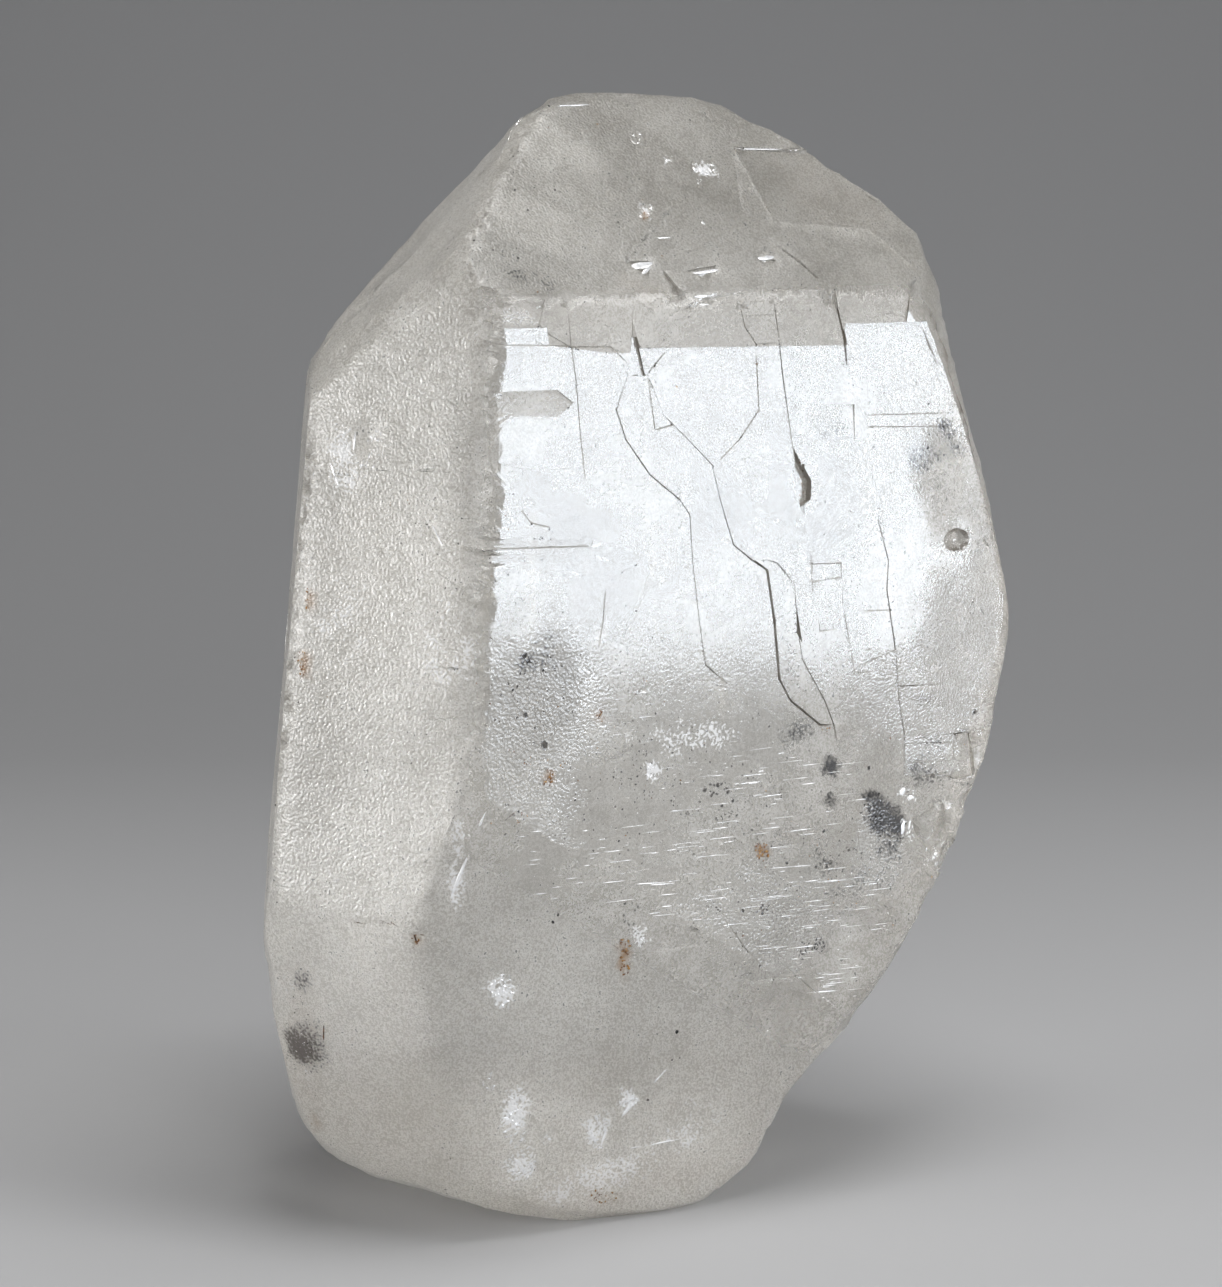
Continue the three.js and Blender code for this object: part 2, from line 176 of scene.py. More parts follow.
bm.to_mesh(mesh)
bm.free()
mesh.shade_smooth()
sweep = bpy.data.objects.new("sweep", mesh)
bpy.context.collection.objects.link(sweep)

material, start = new_material("matt board")
board = start.node("ShaderNodeBsdfDiffuse", None, {"Color": board_colour})
finish_material(start, board)
mesh.materials.append(material)


# Light: soft boxes overhead, at the right and in front, and white panels that stand on the floor.
# The low right panel mirrors in the front face and whitens it, and the dim one on top of it shows there as
# a grey band. The left panel lights the left face.
def soft_box(name, place, target, width, height, watts):
    box = bpy.data.lights.new(name, "AREA")
    box.shape = "RECTANGLE"
    box.size = width
    box.size_y = height
    box.energy = watts
    lamp = bpy.data.objects.new(name, box)
    lamp.location = place
    lamp.rotation_euler = (Vector(place) - Vector(target)).to_track_quat("Z", "Y").to_euler()
    lamp.visible_camera = False
    bpy.context.collection.objects.link(lamp)
    return lamp


soft_box("top box", (0.05, -0.08, 0.42), (0, 0, 0.0), 0.22, 0.22, 0.95)
soft_box("right box", (0.4, -0.2, 0.26), (0, 0, 0.0), 0.22, 0.22, 0.62)
soft_box("front box", (0.06, -0.4, 0.15), (0, 0, 0.03), 0.2, 0.14, 0.52)
panel_height = 0.1
panel_width = 0.16
panel_distance = 0.5
panel_way = Vector((0.935, -0.344, 0))
panel_place = panel_way * panel_distance + Vector((0, 0, panel_height / 2))
panel = soft_box("right panel", panel_place, (0, 0, panel_height / 2), panel_width, panel_height, 0.6)
panel.data.color = (0.84, 0.91, 1.0)
dim_place = panel_place + Vector((0, 0, panel_height))
soft_box("dim panel", dim_place, (0, 0, dim_place.z), panel_width, panel_height, 0.14)
soft_box("left panel", (-0.45, -0.15, 0.07), (0, 0, 0.05), 0.16, 0.12, 1.12)

world = bpy.data.worlds.new("room")
world.use_nodes = True
room_light = world.node_tree.nodes["Background"]
room_light.inputs["Color"].default_value = (0.05, 0.05, 0.0512, 1)
room_light.inputs["Strength"].default_value = 1.0
bpy.context.scene.world = world
bpy.context.scene.view_settings.view_transform = "Standard"


# Crystal: one broken-off prism of clear to milky quartz, flat on its growth faces and worn and chipped
# elsewhere. Its front face is mirror-bright and finely ridged, and its other faces are frosted.
crystal_centre = Vector((-3.42, -2.37, 48.0)) * mm
picture_width = 1222
picture_height = 1287


def facing(azimuth, elevation):
    a = math.radians(azimuth)
    e = math.radians(elevation)
    return Vector((math.sin(a) * math.cos(e), -math.cos(a) * math.cos(e), math.sin(e)))


form = bmesh.new()
form.from_mesh(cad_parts["crystal"].data)
bmesh.ops.remove_doubles(form, verts=form.verts, dist=1e-7)
outside = BVHTree.FromBMesh(form)


def seen(x, y):
    """Where the crystal shows at a pixel of the photograph, and which way its surface looks there."""
    focal = picture_height * lens.lens / lens.sensor_height
    sight = Vector((x - picture_width / 2, picture_height / 2 - y, -focal)).normalized()
    sight = camera.rotation_euler.to_matrix() @ sight
    place, normal, face, distance = outside.ray_cast(camera.location, sight)
    return place, normal


def refine(form, near_length, far_length):
    """Halves the edges that are too long, on the side that the camera sees and on the other side."""
    longer = []
    for edge in form.edges:
        near = min(v.normal.y for v in edge.verts) < 0.1
        if edge.calc_length() > (near_length if near else far_length) * mm:
            longer.append(edge)
    bmesh.ops.subdivide_edges(form, edges=longer, cuts=1)
    many_sided = [f for f in form.faces if len(f.verts) > 3]
    bmesh.ops.triangulate(form, faces=many_sided, quad_method="BEAUTY", ngon_method="BEAUTY")


# Fine grooves between growth plates, as pixels of the photograph. The mesh is cut along both sides and the
# middle of each, so that the groove can be pressed in later.
hairlines = (
    ((568, 307), (571, 346), (576, 380), (580, 430), (585, 478)),
    ((539, 325), (551, 336), (570, 347), (611, 347), (628, 364)),
    ((543, 308), (539, 325)),
    ((649, 372), (656, 363), (665, 352)),
    ((739, 302), (745, 327), (756, 344), (759, 410), (739, 440), (720, 460)),
    ((774, 303), (778, 331), (783, 378), (793, 450)),
    ((745, 316), (772, 315)),
    ((756, 344), (777, 343)),
    ((648, 378), (672, 425), (655, 430), (648, 378)),
    ((811, 556), (812, 564), (841, 563), (843, 603), (847, 628), (854, 671)),
    ((812, 564), (812, 594)),
    ((813, 581), (842, 578)),
    ((819, 625), (820, 631), (847, 628)),
    ((854, 671), (858, 673), (902, 668)),
    ((837, 689), (901, 686), (941, 684)),
    ((864, 611), (891, 610)),
    ((920, 738), (952, 734), (985, 730)),
    ((906, 743), (953, 742), (954, 760)),
    ((908, 763), (953, 760)),
    ((906, 776), (930, 775), (953, 771)),
    ((868, 415), (945, 413)),
    ((868, 427), (945, 426)),
    ((913, 303), (922, 325), (930, 350)),
    ((523, 512), (531, 523), (549, 527)),
    ((497, 549), (590, 546)),
    ((497, 345), (570, 346)),
    ((605, 596), (603, 622), (598, 650)),
    ((727, 683), (706, 665), (640, 690), (626, 704)),
    ((724, 918), (745, 948), (772, 978)),
    ((780, 962), (815, 992), (846, 1020)),
    ((655, 950), (695, 944), (735, 937)),
    ((740, 982), (780, 978), (820, 973)),
    ((695, 985), (745, 975)),
    ((715, 915), (770, 905)),
    ((553, 884), (600, 877), (650, 868)),
    ((425, 520), (451, 565)),
    ((345, 920), (390, 929), (430, 940)),
    ((733, 147), (750, 149), (800, 149)),
    ((770, 220), (830, 221), (868, 226)),
    ((737, 178), (739, 191), (743, 211)),
    ((692, 110), (706, 114), (712, 121), (718, 119)),
)
hairline_half_width = 0.06 * mm
hairline_depth = 0.09 * mm
cut_reach = 2.2 * mm

for length in (12, 6, 4, 3):
    refine(form, length, length)
grooves = []
for line in hairlines:
    hits = [seen(x, y) for x, y in line]
    hub = sum((place for place, normal in hits), Vector()) / len(hits)
    spread = max((place - hub).length for place, normal in hits) + cut_reach
    around = {f for f in form.faces if (f.calc_center_median() - hub).length < spread}
    for number, ((start, normal), (end, next_normal)) in enumerate(zip(hits, hits[1:])):
        depths = [0.3 if number == 0 else 1, 0.3 if number == len(hits) - 2 else 1]
        grooves.append((start, end, depths))
        along = (end - start).normalized()
        across = normal.cross(along).normalized()
        middle = (start + end) / 2
        half = (end - start).length / 2
        for offset in (-hairline_half_width, 0, hairline_half_width):
            beside = []
            for face in around:
                apart = face.calc_center_median() - middle
                if abs(apart.dot(along)) < half + cut_reach and abs(apart.dot(across)) < cut_reach:
                    beside.append(face)
            cut_edges = list({e for f in beside for e in f.edges})
            cut_corners = list({v for f in beside for v in f.verts})
            halves = bmesh.ops.bisect_plane(form, geom=beside + cut_edges + cut_corners, dist=1e-7,
                                            plane_co=middle + across * offset, plane_no=across)["geom"]
            around = {f for f in around if f.is_valid}
            around |= {f for f in halves if isinstance(f, bmesh.types.BMFace)}
many_sided = [f for f in form.faces if len(f.verts) > 3]
bmesh.ops.triangulate(form, faces=many_sided, quad_method="BEAUTY", ngon_method="BEAUTY")
refine(form, 1.9, 2.8)
refine(form, 1.35, 2.4)

# The worn outside is smoothed where no crisp edge and no flat growth face is to be kept. So is the nicked
# edge between the front face and the left face. The reaches are in millimetres from the crystal's centre.
crisp = math.radians(24)
flat = math.radians(1)
front_reach = 14.9
left_reach = 27.0
soft = []
for vertex in form.verts:
    angles = [edge.calc_face_angle(math.pi) for edge in vertex.link_edges]
    from_front = (vertex.co - crystal_centre).dot(facing(35, 1.5)) / mm - front_reach
    from_left = (vertex.co - crystal_centre).dot(facing(-25, 4.5)) / mm - left_reach
    if flat < max(angles) < crisp and from_front < -1.3:
        soft.append(vertex)
    elif abs(from_left) < 0.9 and from_front > -0.8:
        soft.append(vertex)
for step in range(10):
    bmesh.ops.smooth_vert(form, verts=soft, factor=0.5, use_axis_x=True, use_axis_y=True, use_axis_z=True)

mesh = bpy.data.meshes.new("quartz crystal")
form.to_mesh(mesh)
form.free()
count = len(mesh.vertices)
places = np.empty(3 * count)
mesh.vertices.foreach_get("co", places)
places = places.reshape(-1, 3)
normals = np.empty(3 * count)
mesh.vertex_normals.foreach_get("vector", normals)
normals = normals.reshape(-1, 3)
from_centre = places / mm - np.array(crystal_centre / mm)


def soft_step(values, low, high):
    t = np.clip((values - low) / (high - low), 0, 1)
    return t * t * (3 - 2 * t)


def uneven(size, seed=0):
    """Noise from about -1 to 1 at every vertex, with lumps of about this size in millimetres."""
    shift = Vector((seed * 7.3, seed * 3.1, seed * 5.7))
    return np.array([noise.noise(Vector(p) / (size * mm) + shift) for p in places]) * 1.6


# The front face: how far each vertex lies below it, and whether it lies inside the face's outline.
front_out = facing(35, 1.5)
front_right = Vector((math.cos(math.radians(35)), math.sin(math.radians(35)), 0))
front_up = front_out.cross(front_right)
front_gap = from_centre @ np.array(front_out) - front_reach
front_outline = (
    (498, 309), (942, 305), (988, 560), (955, 770), (905, 860), (890, 940), (845, 1015), (487, 800),
)


def inside_front(points):
    """Which of the places lie within the outline of the front face, seen square on."""
    corners = np.array([seen(x, y)[0] for x, y in front_outline])
    corner_right, corner_up = corners @ np.array(front_right), corners @ np.array(front_up)
    right, up = points @ np.array(front_right), points @ np.array(front_up)
    inside = np.zeros(len(points), dtype=bool)
    for k in range(len(corners)):
        xa, ya, xb, yb = corner_right[k - 1], corner_up[k - 1], corner_right[k], corner_up[k]
        inside ^= ((ya > up) != (yb > up)) & (right < (xb - xa) * (up - ya) / (yb - ya) + xa)
    return inside


within = inside_front(places) * (front_gap > -1.2)
on_front = soft_step(front_gap, -1.3, -0.7) * soft_step(normals @ np.array(front_out), 0.9, 0.97)
on_front = np.maximum(on_front, within)
flatness = on_front.copy()
growth_faces = (
    (-25, 4.5, 27.3), (-83, 5.6, 27.5), (155, 2, 29.9), (215, 2, 20),
    (35, 38.2, 29.6), (-64, 43.5, 37.3), (155, 42, 39.5), (215, 42, 31.5), (0, -90, 48),
)
for azimuth, elevation, reach in growth_faces:
    gap = from_centre @ np.array(facing(azimuth, elevation)) - reach
    flatness = np.maximum(flatness, 0.8 * soft_step(gap, -0.6, -0.1))

# Hollow places and outstanding edges, told from how the surface turns at each vertex.
pairs = np.empty(2 * len(mesh.edges), dtype=np.int32)
mesh.edges.foreach_get("vertices", pairs)
first, second = pairs.reshape(-1, 2).T
span = places[second] - places[first]
span /= np.linalg.norm(span, axis=1)[:, None] + 1e-12
turning = np.zeros(count)
links = np.zeros(count)
np.add.at(turning, first, (normals[first] * span).sum(1))
np.add.at(turning, second, -(normals[second] * span).sum(1))
np.add.at(links, first, 1)
np.add.at(links, second, 1)
turning /= links


def spread(values, rounds):
    """Lets a value run out over its neighbours."""
    for step in range(rounds):
        total = values.copy()
        np.add.at(total, first, values[second])
        np.add.at(total, second, values[first])
        values = total / (links + 1)
    return values


edge = np.clip(spread(np.clip(-turning - 0.12, 0, 1), 1) * 4, 0, 1)

# The fine form, always inwards: long waves and small pits in the worn parts, crumbled edges, and grooves.
wave_depth = 0.16
ripple_depth = 0.07
pit_depth = 0.05
crumble_depth = 0.08
inwards = (1 - flatness) * (wave_depth * (1 + uneven(6)) + ripple_depth * (1 + uneven(2.2, 1)))
inwards += (1 - on_front) * pit_depth * np.clip(uneven(1.1, 2), 0, 1)
inwards += crumble_depth * spread(edge, 2) * (1 + uneven(0.7, 4)) * (1 - on_front)
depth = np.zeros(count)
for start, end, (start_depth, end_depth) in grooves:
    a = np.array(start)
    b = np.array(end)
    t = np.clip((places - a) @ (b - a) / ((b - a) @ (b - a)), 0, 1)
    away = np.linalg.norm(places - a - t[:, None] * (b - a), axis=1)
    here = (start_depth + (end_depth - start_depth) * t) * np.clip(1 - away / hairline_half_width, 0, 1)
    depth = np.maximum(depth, here)
inwards += depth * hairline_depth / mm
places -= normals * inwards[:, None] * mm
mesh.vertices.foreach_set("co", places.ravel())
mesh.update()
mesh.shade_smooth()
mesh.set_sharp_from_angle(angle=crisp)
crystal = bpy.data.objects.new("quartz_crystal", mesh)
bpy.context.collection.objects.link(crystal)


def painted(ground, dabs):
    """Values over the surface: a ground with soft-edged dabs (x, y, across, up, value) laid over it.
    A dab's place is a pixel of the photograph, and its half sizes are millimetres on the surface."""
    values = np.array(ground) * np.ones(count)
    ragged = 1 + 0.35 * ragged_edges
    for x, y, across, up, value in dabs:
        place, normal = seen(x, y)
        sideways = Vector((1, 0, 0))
        sideways = (sideways - normal * sideways.dot(normal)).normalized()
        upwards = normal.cross(sideways)
        apart = (places - np.array(place)) / mm
        distance = np.sqrt(
            (apart @ np.array(sideways) / across) ** 2
            + (apart @ np.array(upwards) / up) ** 2
            + (apart @ np.array(normal) / max(across, up)) ** 2
        )
        cover = soft_step(distance * ragged, 1.3, 0.5)
        values += (value - values) * cover
    return values


def keep(name, values):
    """Stores a value for each vertex, for the material to read."""
    layer = mesh.attributes.new(name, "FLOAT", "POINT")
    layer.data.foreach_set("value", np.clip(values, 0, 1).astype(np.float32))


ragged_edges = 0.6 * uneven(2.5, 5) + 0.4 * uneven(0.9, 6)

# Milkiness: each face has its own, and patches of it differ.
milk = np.full(count, 0.42)
for azimuth, elevation, amount in ((-25, 4.5, 0.62), (35, 38.2, 0.34), (-64, 43.5, 0.6), (27, -11, 0.5)):
    alike = soft_step(normals @ np.array(facing(azimuth, elevation)), 0.93, 0.985)
    milk += (amount - milk) * alike
milk = painted(milk + 0.1 * uneven(9, 7), (
    (390, 590, 6.5, 8.5, 0.85),
    (350, 440, 2.5, 4.5, 0.8),
    (430, 340, 4, 5, 0.6),
    (465, 450, 1.8, 7, 0.35),
    (540, 690, 5, 5, 0.3),
    (530, 225, 4, 3, 0.55),
    (540, 140, 5, 2.5, 0.6),
    (540, 280, 3, 3, 0.3),
    (600, 820, 7, 4, 0.4),
    (850, 960, 4, 3, 0.6),
))
keep("milk", milk)
keep("mottle", 0.5 + 0.35 * uneven(1.3, 8) + 0.25 * uneven(3.5, 9))

# Smoke: clear spots through which the dark inside shows.
smoke = painted(0.0, (
    (885, 830, 2.6, 2.8, 1.0),
    (872, 800, 1.4, 1.2, 0.6),
    (830, 765, 1.2, 1.1, 0.75),
    (830, 802, 0.9, 0.8, 0.6),
    (920, 450, 2.2, 1.9, 0.45),
    (832, 425, 2.2, 1.6, 0.4),
    (545, 655, 3.2, 2.2, 0.35),
    (526, 658, 0.9, 0.8, 0.7),
    (305, 1045, 2.2, 3.0, 0.7),
    (300, 985, 1.4, 1.5, 0.5),
    (535, 282, 2.6, 1.6, 0.4),
    (795, 730, 3.0, 1.6, 0.4),
    # This broad dab darkens the low right of the front face.
    (850, 870, 7.0, 4.0, 0.3),
    (945, 440, 3.0, 2.0, 0.4),
    (925, 760, 3.0, 3.0, 0.3),
    (545, 640, 4.0, 1.4, 0.3),
))
keep("smoke", smoke)

# Whiteness of healed cracks and bruises, and a painted reflection: one long flat dab carries the front
# face's bright band further down.
white = painted(0.0, (
    (706, 170, 1.3, 0.7, 1.0),
    (668, 158, 0.6, 0.5, 0.8),
    (638, 138, 0.5, 0.5, 0.7),
    (645, 211, 0.6, 0.7, 0.7),
    (652, 771, 0.6, 0.9, 1.0),
    (340, 465, 1.6, 3.0, 0.6),
    (502, 990, 1.1, 1.4, 0.8),
    (515, 1110, 1.0, 2.0, 0.8),
    (522, 1165, 1.4, 1.6, 0.7),
    (628, 1100, 1.0, 1.0, 0.8),
    (600, 1130, 1.2, 1.4, 0.7),
    (640, 938, 0.7, 0.7, 0.8),
    (580, 675, 1.4, 1.2, 0.4),
    # A painted reflection, carrying the bright band of the front face further down.
    (690, 735, 6.0, 1.6, 0.42),
    (600, 1180, 6.0, 1.6, 0.5),
    (450, 640, 3.0, 4.0, 0.3),
    (690, 1120, 3.0, 2.4, 0.35),
    (345, 620, 3.0, 3.0, 0.35),
    (460, 870, 0.7, 4.0, 0.5),
))
keep("white", white)

# Rust from iron-bearing water, in cracks and along the edges.
rust = painted(0.0, (
    (762, 852, 0.6, 0.7, 0.9),
    (625, 958, 0.45, 1.4, 0.9),
    (548, 776, 0.5, 0.6, 0.9),
    (600, 715, 0.3, 0.6, 0.8),
    (303, 662, 0.3, 1.2, 0.8),
    (308, 598, 0.25, 0.9, 0.7),
    (414, 940, 0.4, 0.5, 0.7),
    (604, 1195, 1.6, 0.5, 0.45),
    (645, 215, 0.3, 0.4, 0.6),
    (314, 1122, 0.5, 1.2, 0.4),
    (640, 285, 2.4, 1.2, 0.12),
    (830, 195, 6.0, 4.0, 0.07),
    (600, 1195, 12.0, 2.5, 0.08),
    (300, 1050, 2.0, 8.0, 0.1),
))
keep("rust", rust)

# Ridging: where the front face is combed by fine level ridges.
ridging = painted(0.05 * on_front, (
    (530, 550, 5.5, 1.1, 0.9),
    (575, 505, 4.0, 2.0, 0.55),
    (530, 405, 3.6, 1.1, 0.4),
    (610, 470, 2.0, 1.4, 0.5),
    (735, 480, 3.0, 1.6, 0.4),
    (780, 545, 2.5, 1.5, 0.6),
    (830, 425, 2.2, 1.8, 0.7),
    (930, 430, 3.5, 3.5, 0.5),
    (940, 620, 4.0, 4.0, 0.4),
    (540, 610, 6.0, 2.0, 0.6),
    (640, 740, 9.0, 2.5, 0.6),
    (700, 850, 14.0, 7.0, 0.9),
    (560, 850, 5.0, 4.0, 0.6),
    (840, 900, 8.0, 6.0, 1.0),
    (820, 760, 5.0, 3.0, 0.8),
    (860, 990, 4.0, 2.0, 1.0),
)) * on_front
keep("ridging", ridging)
mirror = painted(on_front, (
    (985, 560, 2.0, 14.0, 0.3),
    (945, 480, 3.0, 5.0, 0.15),
    (950, 650, 3.5, 7.0, 0.35),
    (900, 700, 4.0, 4.0, 0.75),
    (530, 700, 6.5, 5.5, 0.5),
    (520, 800, 5.0, 8.0, 0.25),
    (700, 960, 16.0, 6.5, 0.45),
    (516, 318, 1.6, 0.7, 0.4),
    (880, 850, 3.0, 4.0, 0.4),
)) * on_front
keep("mirror", mirror)
keep("edge", edge)

# The walls of the cracks and steps inside the front face, told by how steep they are. They are painted
# dark: painted shade where they turn from the light, and dirt in the cracks.
faces = len(mesh.polygons)
middles = np.empty(3 * faces)
mesh.polygons.foreach_get("center", middles)
middles = middles.reshape(-1, 3)
leans = np.empty(3 * faces)
mesh.polygon_normals.foreach_get("vector", leans)
leans = leans.reshape(-1, 3) @ np.array(front_out)
sunk = (middles / mm - np.array(crystal_centre / mm)) @ np.array(front_out) - front_reach
wall_shade_and_dirt = inside_front(middles) * (sunk > -1.2) * soft_step(leans, 0.9, 0.75) * soft_step(sunk, -0.08, -0.2)
layer = mesh.attributes.new("wall_shade_and_dirt", "FLOAT", "FACE")
layer.data.foreach_set("value", wall_shade_and_dirt.astype(np.float32))

# The plates of the front face are true planes, so they are shaded flat, and the steps between are crisp.
plates = inside_front(middles) & (sunk > -1.2)
mesh.polygons.foreach_set("use_smooth", ~plates)


material, start = new_material("quartz")
place = start.node("ShaderNodeTexCoord", output="Object")
spot = place.scaled(1 / mm)
milk = start.attribute("milk")
smoke = start.attribute("smoke")
white = start.attribute("white")
rust = start.attribute("rust")
ridging = start.attribute("ridging")
mirror = start.attribute("mirror")
edge = start.attribute("edge")
wall_shade_and_dirt = start.attribute("wall_shade_and_dirt")
mottle = start.attribute("mottle")

grit = start.noise(spot, 4.5, 0)
powder = start.noise(spot, 9.0, 0)

# The body colour: warm pale grey with a fine salt-and-pepper grain and scattered dark pinpricks.
tone = (mottle - 0.5) * 0.6 + (grit - 0.5) * 2.1 + (powder - 0.5) * 2.6 + 0.5
body = tone.mix((0.64, 0.615, 0.565, 1), (1.0, 0.98, 0.935, 1))
pinpricks = grit.smooth(0.69, 0.78) * mottle.smooth(0.35, 0.8) * 0.9
body = pinpricks.mix(body, (0.2, 0.19, 0.18, 1))
smoky = (smoke + (mottle - 0.5) * 0.6 + (grit - 0.5) * 0.9).smooth(0.3, 0.8) * smoke.smooth(0.0, 0.25)
body = smoky.mix(body, (0.05, 0.05, 0.055, 1))
# Painted shade and dirt: the walls of the cracks and steps are darkened to dark brown.
body = (wall_shade_and_dirt * 0.9).mix(body, (0.24, 0.21, 0.175, 1))
# Whitened at bruises and healed cracks, and at the painted reflection low on the front face.
bruises_and_painted_reflection = (white + (mottle - 0.5) * 0.8 + (grit - 0.5) * 1.8).smooth(0.45, 0.7) * white.smooth(0.0, 0.2)
body = bruises_and_painted_reflection.mix(body, (1.0, 1.0, 1.0, 1))
body = rust.mix(body, (0.33, 0.17, 0.055, 1))

grain = (1 - mirror) * (grit - 0.5) * 0.07
slight = mirror * (grit - 0.5) * 0.004
relief = start.node("ShaderNodeBump", None, {
    "Strength": 1.0,
    "Distance": mm,
    "Height": grain + slight,
})
roughness = mirror * -0.22 + ridging * 0.04 + 0.3
# Edges are made milkier: partly their wear, partly a painted bright rim of light.
cloudiness = milk + (mottle - 0.5) * 0.15 + bruises_and_painted_reflection * 0.6 - smoky * 0.4 + rust * 0.4 + edge * 0.25
clear = start.node("ShaderNodeBsdfPrincipled", None, {
    "Base Color": body,
    "Roughness": roughness,
    "IOR": 1.544,
    "Transmission Weight": 1.0,
    "Normal": relief,
})
milky = start.node("ShaderNodeBsdfPrincipled", None, {
    "Base Color": body,
    "Roughness": roughness,
    "IOR": 1.544,
    "Transmission Weight": 0.4,
    "Normal": relief,
})
quartz = start.node("ShaderNodeMixShader", None, {0: cloudiness, 1: clear, 2: milky})
depth = start.node("ShaderNodeVolumeAbsorption", None, {"Color": (0.9, 0.88, 0.85, 1), "Density": 12.0})
finish_material(start, quartz, depth)
mesh.materials.append(material)
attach(crystal, "root")
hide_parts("crystal")


# Black grains: crumbs of a dark iron mineral that settled on the growing crystal and sank into its skin.
# The largest are a millimetre across and sit in loose chains. The small ones are strewn over every side.
# From here on, a pixel's place is found on the finished surface.
outside = BVHTree.FromPolygons([v.co for v in mesh.vertices], [p.vertices for p in mesh.polygons])
draw = random.Random(7)


def crumb(grains, place, normal, along, length, width, height, rounds=1):
    """One uneven grain with these half sizes in millimetres, sunk for the most part into the surface."""
    across = normal.cross(along).normalized()
    turn = Matrix((across.cross(normal), across, normal)).transposed().to_4x4()
    size = Matrix.Diagonal((length * mm, width * mm, height * mm, 1))
    middle = place - normal * height * 0.55 * mm
    shape = Matrix.Translation(middle) @ turn @ size
    grain = bmesh.ops.create_icosphere(grains, subdivisions=rounds, radius=1, matrix=shape)
    for vertex in grain["verts"]:
        vertex.co = middle + (vertex.co - middle) * draw.uniform(0.7, 1.0)


def any_way(normal):
    """A random direction along the surface."""
    way = Vector((draw.gauss(0, 1), draw.gauss(0, 1), draw.gauss(0, 1)))
    return (way - normal * way.dot(normal)).normalized()


def finish_crumbs(name, grains, material):
    """Makes one piece of the grains, fixed in the crystal."""
    made = bpy.data.meshes.new(name)
    grains.to_mesh(made)
    grains.free()
    made.materials.append(material)
    piece = bpy.data.objects.new(name, made)
    bpy.context.collection.objects.link(piece)
    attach(piece, "root")


def strew(grains, patch, size, width, height):
    """One small grain on a face of the crystal's mesh, its width and height given as shares of its size."""
    normal = patch.normal.copy()
    crumb(grains, patch.center.copy(), normal, any_way(normal), size, size * width, size * height)


def sprinkled(patches):
    """Random places in patches (x, y, half width, half height, count, size): pixels, and the size in mm."""
    for x, y, half_width, half_height, count, size in patches:
        for number in range(count):
            angle = draw.uniform(0, 2 * math.pi)
            out = math.sqrt(draw.random())
            hit = seen(x + half_width * out * math.cos(angle), y + half_height * out * math.sin(angle))
            if hit[0]:
                yield hit[0], hit[1], size * draw.uniform(0.5, 1.15)


def line_way(start, end):
    """The middle, the normal, the direction and the half length in millimetres between two pixels."""
    first_place, normal = seen(*start)
    last_place, last_normal = seen(*end)
    step = last_place - first_place
    return (first_place + last_place) / 2, normal, step.normalized(), step.length / 2 / mm


large_grains = (
    (545, 745, 0.5), (526, 715, 0.32), (525, 656, 0.4), (529, 661, 0.3), (501, 695, 0.14),
    (513, 690, 0.14), (517, 718, 0.16), (535, 728, 0.16), (495, 720, 0.12), (677, 1032, 0.3),
    (928, 448, 0.24), (975, 712, 0.4), (824, 831, 0.26), (752, 830, 0.18), (869, 768, 0.24),
    (870, 795, 0.22), (787, 863, 0.22), (816, 867, 0.2), (849, 850, 0.2), (874, 447, 0.2),
    (743, 911, 0.22), (515, 190, 0.16), (555, 190, 0.18), (528, 210, 0.16), (493, 250, 0.16),
    (518, 258, 0.2), (642, 240, 0.16), (645, 255, 0.14), (618, 222, 0.14), (549, 106, 0.18),
    (648, 1100, 0.22), (553, 922, 0.26), (558, 915, 0.2), (672, 1060, 0.14), (680, 1058, 0.14),
    (690, 120, 0.14), (508, 575, 0.14), (563, 612, 0.12), (705, 790, 0.3), (712, 795, 0.26),
    (718, 786, 0.24), (728, 792, 0.28), (733, 801, 0.22), (722, 806, 0.2), (700, 802, 0.18),
)
grain_patches = (
    (716, 790, 16, 8, 12, 0.24), (705, 815, 32, 6, 16, 0.2), (763, 910, 7, 7, 9, 0.26),
    (805, 950, 8, 11, 12, 0.24), (822, 944, 9, 8, 12, 0.32), (631, 915, 8, 22, 14, 0.22),
    (780, 785, 60, 40, 24, 0.13), (700, 880, 110, 60, 40, 0.12), (560, 700, 60, 50, 26, 0.12),
    (610, 850, 60, 50, 20, 0.12), (560, 190, 60, 60, 60, 0.12), (560, 260, 70, 25, 40, 0.11),
    (700, 230, 60, 40, 40, 0.1), (850, 250, 60, 40, 30, 0.1), (640, 120, 90, 18, 20, 0.1),
    (930, 620, 40, 90, 24, 0.1), (880, 830, 30, 40, 30, 0.18), (300, 1030, 16, 50, 30, 0.16),
    (340, 440, 30, 60, 14, 0.1), (620, 1020, 120, 50, 40, 0.1), (400, 960, 60, 60, 24, 0.1),
    (510, 820, 16, 16, 12, 0.16),
)
grains = bmesh.new()
for x, y, size in large_grains:
    place, normal = seen(x, y)
    crumb(grains, place, normal, any_way(normal), size, size * draw.uniform(0.6, 0.9), size * 0.5, rounds=2)
for place, normal, size in sprinkled(grain_patches):
    crumb(grains, place, normal, any_way(normal), size, size * draw.uniform(0.4, 0.8), size * 0.5)
strewn = 3600
for number in range(strewn):
    patch = draw.choice(mesh.polygons)
    if noise.noise(patch.center / (9 * mm)) + draw.uniform(-0.3, 0.3) > -0.12:
        size = 0.06 + 0.11 * draw.random() ** 2
        strew(grains, patch, size, 0.7, 0.5)
material, start = new_material("iron black")
spot = start.node("ShaderNodeTexCoord", output="Object").scaled(1 / mm)
patchy = start.noise(spot, 3.0, 1)
